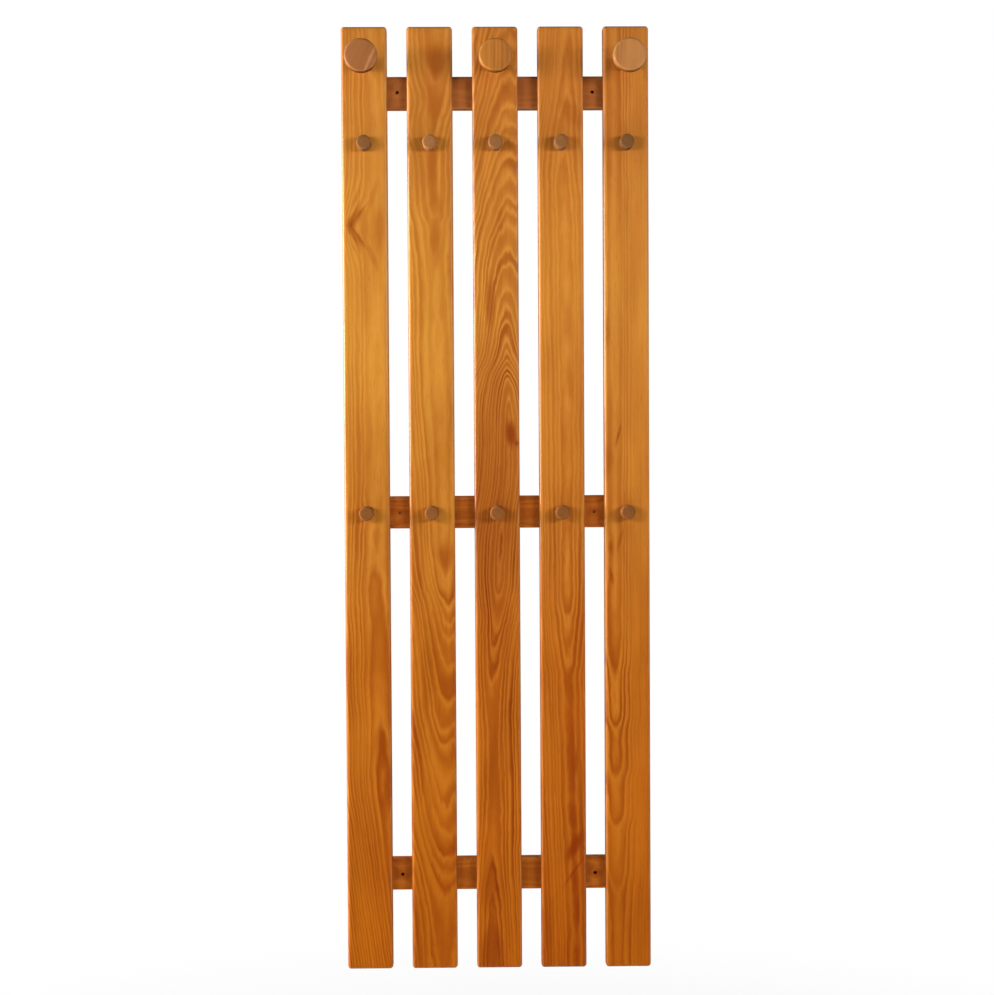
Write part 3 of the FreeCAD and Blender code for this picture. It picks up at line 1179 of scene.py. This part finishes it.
@dataclass
class HatKnobs(Assembly):
    """The three hat knobs: disc heads on dowel stems."""
    SLOT = Slot.KNOB
    finishes: tuple[dict, ...]
    stem_finish: dict
    edge_radius: float = 0.004
    stem_edge_radius: float = 0.001
    crown: float = 0.0005
    disc_around: int = 128
    disc_face_steps: int = 22
    first_wood_seed: float = 120.0
    stem_wood_seed: float = 140.0

    def build(self, library: Library) -> None:
        """Make the discs, each with its own figure, and the row of stems.

        Args:
            library: The shared node groups and trees.
        """
        for number, finish in enumerate(self.finishes, 1):
            node = f"hat_knob_{number}"
            low, high = box_of(node)
            wood = PineFinish(f"knob_pine_{number}", (0.0, (low.y - high.y) / 2, 0.0),
                              source=Source.OWN_PLACE, seed=self.first_wood_seed + number, **finish)
            inputs = self.round_inputs(node, self.edge_radius, wood.material(library)) | {
                "Count": 1, "Crown": self.crown, "Around": self.disc_around,
                "Face Steps": self.disc_face_steps, "Roll": 0.0}
            self.pieces.append((make_piece(f"{node}_disc", library.turned, inputs), [node]))
        nodes = [f"hat_knob_stem_{number}" for number, _ in enumerate(self.finishes, 1)]
        wood = PineFinish("stem_pine", grain=Grain.OUTWARD, source=Source.OWN_PLACE,
                          seed=self.stem_wood_seed, **self.stem_finish)
        inputs = self.round_inputs(nodes[0], self.stem_edge_radius, wood.material(library)) | {
            "Count": len(nodes), "Step": step_between(*nodes[:2]), "Crown": 0.0}
        self.pieces.append((make_piece("hat_knob_stems", library.turned, inputs), nodes))

    @staticmethod
    def round_inputs(node: str, edge_radius: float, material: bpy.types.Material) -> dict[str, object]:
        """Work out the inputs of the turned tree that a disc and a stem share.

        Args:
            node: The CAD node.
            edge_radius: Radius of both rims.
            material: The finished material.

        Returns:
            Values by input name.
        """
        low, high = box_of(node)
        return {"Start": (low + high) / 2, "Diameter": high.x - low.x, "Length": high.y - low.y,
                "Front Radius": edge_radius, "Back Radius": edge_radius, "Material": material}


@dataclass
class SlatScrews(Assembly):
    """The wood screws that hold the slats, driven from behind."""
    SLOT = Slot.SCREW
    head_sink: float = 0.0006
    crease: float = 30.0
    roll_seed: int = 17

    def build(self, library: Library) -> None:
        """Make each rail's screws.

        Args:
            library: The shared node groups and trees.
        """
        steel = SteelFinish().material()
        for number, level in enumerate(RAIL_LEVELS, 1):
            low, high = box_of(f"{level}_rail")
            piece = make_piece(f"{level}_slat_screws", library.screws, {
                "Level": (low.z + high.z) / 2, "Head Top": high.y - self.head_sink,
                "Seed": self.roll_seed * number, "Material": steel}, self.crease)
            self.pieces.append((piece, [f"{level}_rail_screws"]))


@dataclass(frozen=True)
class Lamp:
    """One soft studio lamp."""
    name: str
    location: Triple
    target: Triple
    size: tuple[float, float]
    power: float

    def build(self) -> None:
        """Set the lamp up, turned to its target."""
        light = bpy.data.lights.new(self.name, "AREA")
        light.shape, (light.size, light.size_y), light.energy = "RECTANGLE", self.size, self.power
        lamp = add_object(self.name, light)
        lamp.location = self.location
        aim = Vector(self.target) - Vector(self.location)
        lamp.rotation_euler = aim.to_track_quat("-Z", "Y").to_euler()


@dataclass
class Studio:
    """Floor, white surround, lamps and camera."""
    lamps: tuple[Lamp, ...]
    floor_level: float = -1.3
    floor_reach: float = 30.0
    white_reach: tuple[float, float] = (1.3, 2.6)
    near_white: float = 0.7
    bore_column: float = 0.15
    spot_radius: float = 0.004
    spot_gap: float = 0.0005
    spot_steps: int = 24
    # Painted shade of the wall seen through the wall screw holes, which glows in that colour
    painted_shade_colour: Colour = paint(118, 60, 26)
    ambient: float = 0.035
    camera_place: Triple = (-0.0344, -2.7936, 0.0639)
    camera_turn: Triple = (88.296, 0.319, -0.7205)
    lens: float = 64.80
    sensor: float = 36.0

    def build(self) -> None:
        """Set up everything round the rack."""
        self.build_floor()
        self.build_painted_shade_spots()
        self.build_world()
        for lamp in self.lamps:
            lamp.build()
        self.build_camera()

    @staticmethod
    def seen_rays(sheet: NodeSheet) -> Value:
        """Pick out the rays that see the white background: camera, glossy and transmission.

        Args:
            sheet: The nodes of the material or world.

        Returns:
            The mask, 1 for those rays.
        """
        path = sheet.add("ShaderNodeLightPath")
        camera, glossy, passed = (Value(sheet, path.outputs[f"Is {name} Ray"])
                                  for name in ("Camera", "Glossy", "Transmission"))
        return sheet.calc("MAXIMUM", sheet.calc("MAXIMUM", camera, glossy), passed)

    @staticmethod
    def stage(name: str, corners: list[Triple], faces: list[Sequence[int]],
              material: bpy.types.Material) -> None:
        """Add a plain mesh to the stage round the rack.

        Args:
            name: Name of the mesh and its object.
            corners: Its corner points.
            faces: Corner numbers of each face.
            material: Its material.
        """
        mesh = bpy.data.meshes.new(name)
        mesh.from_pydata(corners, [], faces)
        mesh.materials.append(material)
        add_object(name, mesh)

    def build_floor(self) -> None:
        """Lay a pale floor that goes white in the distance and keeps the shadow."""
        material, sheet, shader = new_material("pale_floor")
        sheet.tree.nodes.remove(shader)
        away = sheet.vector("LENGTH", sheet.put("ShaderNodeTexCoord", None, "Object"))
        whitened = self.seen_rays(sheet) * sheet.ramp(away, *self.white_reach, self.near_white)
        sheet.surface(whitened, sheet.put("ShaderNodeBsdfDiffuse", {"Color": FLOOR_GREY}),
                      sheet.put("ShaderNodeEmission", {"Color": WHITE}))
        signs = ((-1, -1), (1, -1), (1, 1), (-1, 1))
        corners = [(x * self.floor_reach, y * self.floor_reach, self.floor_level) for x, y in signs]
        self.stage("floor", corners, [(0, 1, 2, 3)], material)

    def build_painted_shade_spots(self) -> None:
        """Set a glowing spot behind each wall screw hole, painted with the shade of the wall there, seen only
        from the front.
        """
        material, sheet, shader = new_material("shaded_wall")
        sheet.tree.nodes.remove(shader)
        sheet.surface(sheet.put("ShaderNodeNewGeometry", None, "Backfacing"),
                      sheet.put("ShaderNodeEmission", {"Color": self.painted_shade_colour}),
                      sheet.put("ShaderNodeBsdfTransparent"))
        corners, faces, radius = [], [], self.spot_radius
        angles = [2 * math.pi * step / self.spot_steps for step in range(self.spot_steps)]
        for level in RAIL_LEVELS:
            low, high = box_of(f"{level}_rail")
            y, z = high.y + self.spot_gap, (low.z + high.z) / 2
            for x in (-self.bore_column, self.bore_column):
                faces.append(range(len(corners), len(corners) + self.spot_steps))
                corners += [(x + radius * math.cos(angle), y, z + radius * math.sin(angle))
                            for angle in angles]
        self.stage("painted_shade_spots", corners, faces, material)

    def build_world(self) -> None:
        """Give a white background to the rays that see it, and a soft ambient light to the rest."""
        world = bpy.data.worlds.new("studio")
        bpy.context.scene.world = world
        world.use_nodes = True
        sheet = NodeSheet(world.node_tree)
        soft = world.node_tree.nodes["Background"]
        sheet.fill(soft, {"Color": WHITE, "Strength": self.ambient})
        sheet.surface(self.seen_rays(sheet), Value(sheet, soft.outputs[0]),
                      sheet.put("ShaderNodeBackground", {"Color": WHITE}))

    def build_camera(self) -> None:
        """Stand the camera where the photograph was taken."""
        lens = bpy.data.cameras.new("camera")
        lens.lens, lens.sensor_width = self.lens, self.sensor
        camera = add_object("camera", lens)
        camera.location = self.camera_place
        camera.rotation_euler = [math.radians(angle) for angle in self.camera_turn]
        bpy.context.scene.camera = camera


# Figure of each slat from left to right, from its foot up: heights along it are measured down from its top

# Slats take the tint by height with its painted light and shade
SLAT_LACQUER = {"polish": 0.8, "painted_light_and_tint": True}
SLAT_FINISHES: tuple[dict, ...] = (
    SLAT_LACQUER | {
        "figure": (
            (-1.45, 0.064, 0.018, 7.6), (-1.327, 0.046, 0.020, 8.3), (-1.22, 0.030, 0.022, 9.0),
            (-1.146, 0.022, 0.023, 9.08), (-1.11, 0.021, 0.025, 9.45), (-1.08, 0.020, 0.027, 9.75),
            (-1.06, 0.019, 0.028, 10.02), (-1.0, 0.017, 0.031, 10.12), (-0.98, 0.017, 0.033, 10.42),
            (-0.855, 0.013, 0.038, 10.74), (-0.83, 0.013, 0.040, 11.0), (-0.80, 0.014, 0.041, 11.12),
            (-0.70, 0.018, 0.042, 11.1), (-0.30, 0.020, 0.0464, 11.05), (0.0, 0.022, 0.046, 10.95)),
        "knots": (
            Knot(-0.302, -0.0210, 0.0085, 2.0, 0.0, push=-2.9),
            Knot(-0.302, -0.0210, 0.0042, 1.8, 0.6, core=0.45),
            Knot(-0.291, -0.0140, 0.0055, 1.5, 0.5, 0.6), Knot(-0.319, -0.0140, 0.0045, 2.0, 0.4, -0.6),
            Knot(-0.285, -0.0085, 0.0017, 6.0, 0.5, 0.75), Knot(-0.279, -0.0135, 0.0014, 7.0, 0.45, 0.40),
            Knot(-0.321, -0.0095, 0.0017, 6.0, 0.6, -0.70), Knot(-0.328, -0.0135, 0.0014, 7.0, 0.5, -0.40),
            Knot(-0.258, 0.0120, 0.0030, 5.0, 0.3, 0.30), Knot(-0.348, 0.0100, 0.0030, 5.0, 0.3, -0.40),
            Knot(-0.302, 0.0235, 0.0045, 4.0, 0.3), Knot(-0.940, 0.0190, 0.0110, 5.0, 0.4, taper=-0.5),
            Knot(-1.088, 0.0185, 0.0060, 3.2, 0.4, taper=-0.5)),
        "ring_width": 0.0042,
        "lines": ((-1.45, 0.9), (-0.85, 0.9), (-0.65, 0.55), (-0.40, 0.45), (-0.15, 0.55), (0.0, 0.6))},
    SLAT_LACQUER | {
        "figure": (
            (-1.45, 0.016, 0.030, 37.0), (-1.342, 0.018, 0.030, 35.75), (-1.301, 0.019, 0.030, 34.75),
            (-1.231, 0.020, 0.030, 32.75), (-1.131, 0.020, 0.028, 30.75), (-1.062, 0.021, 0.026, 28.75),
            (-0.983, 0.025, 0.020, 26.75), (-0.903, 0.0245, 0.012, 24.75), (-0.836, 0.019, 0.008, 22.75),
            (-0.78, 0.018, 0.008, 22.3), (-0.64, 0.016, 0.014, 22.1), (-0.52, 0.012, 0.020, 22.0),
            (-0.40, 0.008, 0.018, 22.1), (-0.355, 0.006, 0.016, 21.95), (-0.33, 0.006, 0.016, 21.6),
            (-0.30, 0.006, 0.016, 21.4), (-0.287, 0.006, 0.016, 20.95), (-0.20, 0.004, 0.016, 20.6),
            (-0.162, 0.001, 0.020, 19.95), (-0.105, 0.011, 0.022, 19.5), (-0.0725, 0.008, 0.022, 18.95),
            (0.0, 0.010, 0.022, 18.3)),
        "knots": (
            Knot(-0.056, 0.0100, 0.0100, 1.6, 0.6, taper=0.4),
            Knot(-0.115, 0.0080, 0.0095, 3.0, 0.35, taper=0.5),
            Knot(-0.205, 0.0040, 0.0045, 6.0, 0.45), Knot(-0.270, 0.0070, 0.0070, 2.0, 0.35, taper=-0.2),
            Knot(-0.330, 0.0070, 0.0055, 4.0, 0.4), Knot(-0.815, 0.0200, 0.0070, 2.2, 0.6, taper=0.4)),
        "ring_width": 0.0070, "wander": 0.0028,
        "lines": ((-1.45, 0.7), (-0.85, 0.8), (-0.72, 0.6), (-0.38, 0.55), (-0.20, 0.7), (0.0, 0.7))},
    SLAT_LACQUER | {
        "figure": (
            (-1.45, -0.009, 0.012, 6.0), (-1.355, -0.010, 0.012, 6.75), (-1.278, -0.010, 0.014, 7.75),
            (-1.22, -0.008, 0.018, 8.3), (-1.04, -0.008, 0.014, 8.2), (-1.003, -0.008, 0.012, 7.75),
            (-0.946, -0.005, 0.009, 6.75), (-0.90, 0.000, 0.008, 5.75), (-0.869, 0.002, 0.008, 4.8),
            (-0.835, 0.003, 0.008, 4.25), (-0.74, 0.010, 0.006, 4.1), (-0.66, 0.018, 0.004, 4.1),
            (-0.59, 0.019, 0.004, 4.3), (-0.50, 0.016, 0.006, 9.8), (-0.46, 0.016, 0.010, 11.7),
            (-0.42, 0.017, 0.016, 13.2), (-0.35, 0.018, 0.032, 15.7), (-0.25, 0.023, 0.045, 19.2),
            (-0.13, 0.022, 0.045, 23.5), (0.0, 0.020, 0.045, 28.0)),
        "knots": (
            Knot(-0.622, 0.0215, 0.0050, 2.6, 0.9, -0.1), Knot(-0.637, 0.0310, 0.0022, 1.5, 0.6, core=0.9),
            Knot(-0.42, -0.0090, 0.0050, 5.0, 0.6), Knot(-0.72, -0.0100, 0.0300, 5.0, 0.45),
            Knot(-1.31, -0.0130, 0.0075, 4.0, 0.4, taper=-0.5),
            Knot(-1.41, -0.0110, 0.0085, 4.0, 0.6, taper=-0.5)),
        "early": paint(222, 145, 52), "late": paint(150, 64, 17), "ring_width": 0.0048, "wander": 0.0022,
        "lines": ((-1.45, 0.9), (-0.90, 0.9), (-0.45, 0.85), (-0.25, 0.65), (0.0, 0.6))},
    SLAT_LACQUER | {
        "figure": (
            (-1.45, 0.020, 0.012, 14.8), (-1.33, 0.018, 0.012, 14.6), (-1.20, 0.014, 0.012, 14.6),
            (-1.02, 0.009, 0.012, 14.5), (-0.977, 0.008, 0.010, 13.85), (-0.93, 0.008, 0.010, 13.15),
            (-0.907, 0.008, 0.010, 12.85), (-0.869, 0.008, 0.010, 12.3), (-0.70, 0.008, 0.011, 12.2),
            (-0.45, 0.008, 0.014, 12.2), (-0.27, 0.006, 0.016, 12.3), (-0.208, 0.004, 0.016, 12.75),
            (-0.131, 0.008, 0.013, 13.35), (-0.105, 0.010, 0.013, 13.8), (0.0, 0.012, 0.016, 15.0)),
        "knots": (
            Knot(-1.260, 0.0175, 0.0055, 2.4, 0.9, 0.45), Knot(-1.300, 0.0160, 0.0018, 7.0, 0.6, 0.7),
            Knot(-1.360, 0.0215, 0.0018, 7.0, 0.6), Knot(-0.135, 0.0200, 0.0090, 1.6, 0.35, -0.5),
            Knot(-1.130, 0.0180, 0.0030, 4.0, 0.6), Knot(-0.455, 0.0100, 0.0040, 5.0, 0.3),
            Knot(-0.540, 0.0130, 0.0030, 7.0, 0.35, -0.08), Knot(-0.620, 0.0050, 0.0050, 5.0, 0.25)),
        "early": paint(219, 142, 51), "ring_width": 0.0052, "wander": 0.0024,
        "lines": ((-1.45, 0.85), (-0.85, 0.85), (-0.60, 0.45), (-0.35, 0.4), (-0.15, 0.55), (0.0, 0.5))},
    SLAT_LACQUER | {
        "figure": (
            (-1.45, -0.017, 0.024, 13.3), (-1.345, -0.017, 0.024, 13.1), (-1.33, -0.017, 0.024, 12.95),
            (-1.29, -0.018, 0.023, 12.3), (-1.24, -0.018, 0.022, 12.1), (-1.23, -0.018, 0.022, 11.95),
            (-1.204, -0.018, 0.021, 11.3), (-1.166, -0.018, 0.020, 11.1), (-1.156, -0.018, 0.020, 10.95),
            (-1.13, -0.018, 0.019, 10.3), (-1.09, -0.019, 0.017, 10.1), (-1.079, -0.019, 0.016, 9.95),
            (-1.052, -0.019, 0.015, 9.3), (-1.0, -0.020, 0.013, 9.1), (-0.989, -0.020, 0.012, 8.95),
            (-0.965, -0.020, 0.012, 8.5), (-0.93, -0.020, 0.011, 8.25), (-0.80, -0.019, 0.010, 8.12),
            (-0.35, -0.018, 0.010, 8.1), (0.0, -0.018, 0.010, 8.1)),
        "knots": (
            Knot(-0.798, -0.0260, 0.0022, 3.0, 0.6, core=0.15, push=0.3),
            Knot(-0.842, -0.0250, 0.0022, 3.5, 0.6, -0.15, core=0.15, push=0.3),
            Knot(-0.785, -0.0110, 0.0016, 6.0, 0.5, 0.25),
            Knot(-0.625, -0.0130, 0.0013, 8.0, 0.7, 0.22, core=0.3),
            Knot(-0.465, -0.0310, 0.0040, 3.0, 0.4), Knot(-0.665, -0.0310, 0.0040, 4.0, 0.4)),
        "early": paint(218, 144, 53), "ring_width": 0.0048, "plain_side": (0.0, 0.014),
        "lines": ((-1.45, 0.85), (-0.95, 0.85), (-0.75, 0.5), (-0.55, 0.42), (-0.35, 0.45), (-0.15, 0.6),
                  (0.0, 0.65))},
)

# Rails' colours are darkened a little as painted shade of their recess behind the slats, on top of their own
# tone
RAIL_LACQUER = {"sheen": 0.05, "polish": 0.0, "ring_width": 0.0026}
RAIL_FINISHES: dict[str, dict] = {
    "upper": RAIL_LACQUER | {
        "early": paint(177, 106, 52), "late": paint(133, 67, 31), "pale": paint(184, 117, 62),
        "lines": ((0.0, 0.4),), "figure": ((0.0, 0.010, 0.060), (0.45, 0.006, 0.052))},
    "middle": RAIL_LACQUER | {
        "early": paint(184, 101, 34), "late": paint(135, 59, 18), "pale": paint(192, 112, 44),
        "lines": ((0.0, 0.7),), "figure": ((0.0, -0.008, 0.050), (0.25, -0.004, 0.054), (0.45, 0.002, 0.048)),
        "knots": (Knot(0.375, 0.0, 0.005, push=1.2),)},
    "lower": RAIL_LACQUER | {
        "early": paint(191, 106, 32), "late": paint(140, 61, 16), "pale": paint(199, 117, 42),
        "lines": ((0.0, 0.7),), "figure": ((0.0, 0.004, 0.053), (0.2, 0.0, 0.048), (0.45, 0.006, 0.054)),
        "knots": (Knot(0.075, 0.0, 0.005, push=1.4), Knot(0.375, 0.0, 0.005, push=1.4))},
}

# Pegs' wood is painted darker, close to the tone of their cut ends, as painted shade on their sides; so their
# ends are hardly darkened
PEG_WOOD = {"ring_width": 0.0022, "wear_and_highlight": 0.05, "sheen": 0.0, "polish": 0.35,
            "end_tint": paint(235, 230, 226)}
PEG_FINISHES: dict[str, dict] = {
    "upper": PEG_WOOD | {
        "early": paint(163, 113, 67), "late": paint(122, 76, 44), "pale": paint(172, 123, 78),
        "figure": ((0.0, 0.004, 0.018),)},
    "middle": PEG_WOOD | {
        "early": paint(157, 101, 54), "late": paint(117, 68, 35), "pale": paint(165, 110, 63),
        "figure": ((0.0, -0.006, 0.024),)},
}
PEG_TONES: dict[str, Row] = {"upper": (0.82, 1.2, 1.0, 0.92, 0.68), "middle": (0.95, 1.0, 1.0, 0.92, 0.92)}

KNOB_FINISHES: tuple[dict, ...] = (
    {"early": paint(162, 103, 58), "late": paint(136, 82, 44), "pale": paint(172, 112, 66),
     "lines": ((0.0, 0.35),), "heart": paint(216, 152, 98), "figure": ((0.0, -0.030, 0.040),), "turn": -25.0,
     "knots": (Knot(0.0, 0.0150, 0.0040, 10.0, 0.0, core=0.4),)},
    {"early": paint(184, 117, 50), "late": paint(138, 75, 28), "pale": paint(194, 128, 59),
     "lines": ((0.0, 0.7),), "figure": ((0.0, 0.040, 0.030),), "ring_width": 0.0044},
    {"early": paint(184, 126, 70), "late": paint(150, 90, 44), "pale": paint(193, 137, 80),
     "lines": ((0.0, 0.5),), "figure": ((0.0, 0.012, 0.035),), "plain_side": (-0.014, -0.004)},
)
STEM_FINISH = {"early": paint(187, 114, 48), "late": paint(143, 76, 29), "pale": paint(196, 126, 58)}

STUDIO_LAMPS = (
    Lamp("left_front", (-1.6, -2.3, 0.50), (0.0, 0.0, 0.15), (1.2, 0.35), 31.0),
    Lamp("right_front", (1.65, -2.35, 0.55), (0.0, 0.0, 0.15), (1.2, 0.35), 47.0),
    Lamp("left_rim", (-2.6, -0.25, 0.38), (0.0, -0.04, 0.15), (0.5, 1.1), 130.0),
    Lamp("back_fill", (0.6, 2.4, 1.6), (0.0, 0.0, 0.0), (1.0, 1.0), 25.0),
)


def main() -> None:
    """Build and dress the rack, then the studio."""
    logging.basicConfig(level=logging.INFO, format="%(name)s: %(message)s")
    bpy.context.scene.view_settings.view_transform = "Standard"
    library = Library()
    for assembly in (Slats(SLAT_FINISHES), Rails(RAIL_FINISHES), CoatPegs(PEG_FINISHES, PEG_TONES),
                     HatKnobs(KNOB_FINISHES, STEM_FINISH), SlatScrews()):
        assembly.build(library)
        assembly.dress()
    Studio(STUDIO_LAMPS).build()


if __name__ == "__main__":
    main()
